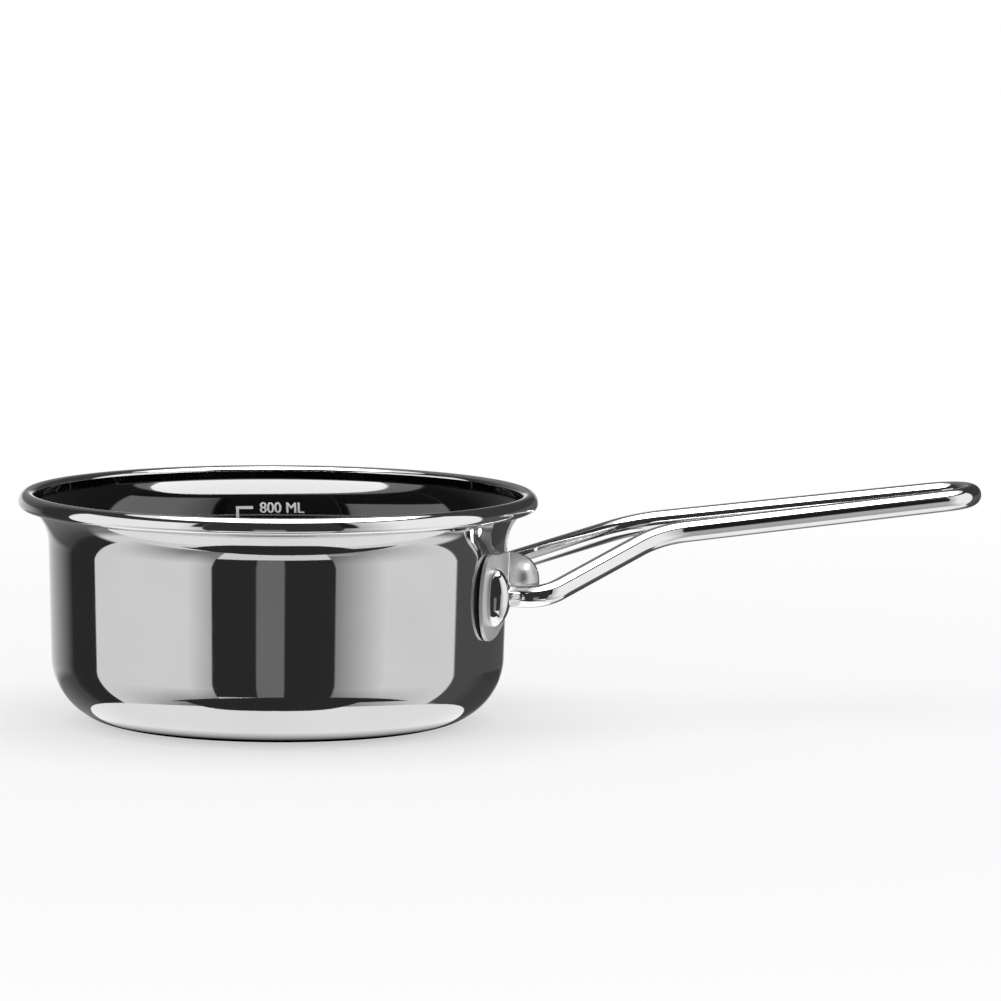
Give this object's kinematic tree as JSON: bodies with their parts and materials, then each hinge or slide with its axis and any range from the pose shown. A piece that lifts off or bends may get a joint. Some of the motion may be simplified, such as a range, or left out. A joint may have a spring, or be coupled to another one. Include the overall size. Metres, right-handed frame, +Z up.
{
  "type": "enamel saucepan",
  "caption": "Small polished steel saucepan with a black enamel lining, a flared mouth with a steel rim band and a riveted wire loop handle.",
  "frame": {"origin": "on the pan's axis, at the middle of its flat base", "axes": "+Z up along the pan's axis; +X along the handle, away from the pan; +Y to the left when looking along the handle from the pan"},
  "size_m": [0.3038, 0.16, 0.071],
  "materials": {
    "body_steel": "mirror-polished stainless steel",
    "enamel": "glossy black vitreous enamel",
    "rim_steel": "mirror-polished stainless steel",
    "handle_steel": "mirror-polished stainless steel",
    "bracket_steel": "polished stainless sheet",
    "rivet_steel": "polished stainless steel",
    "washer_steel": "satin stainless steel"
  },
  "bodies": {
    "root": {"pan_body": "body_steel", "enamel_lining": "enamel", "rim_band": "rim_steel", "handle_wire": "handle_steel", "right_bracket": "bracket_steel", "left_bracket": "bracket_steel", "right_rivet": "rivet_steel", "left_rivet": "rivet_steel", "right_rivet_washer": "washer_steel", "left_rivet_washer": "washer_steel"}
  },
  "joints": []
}
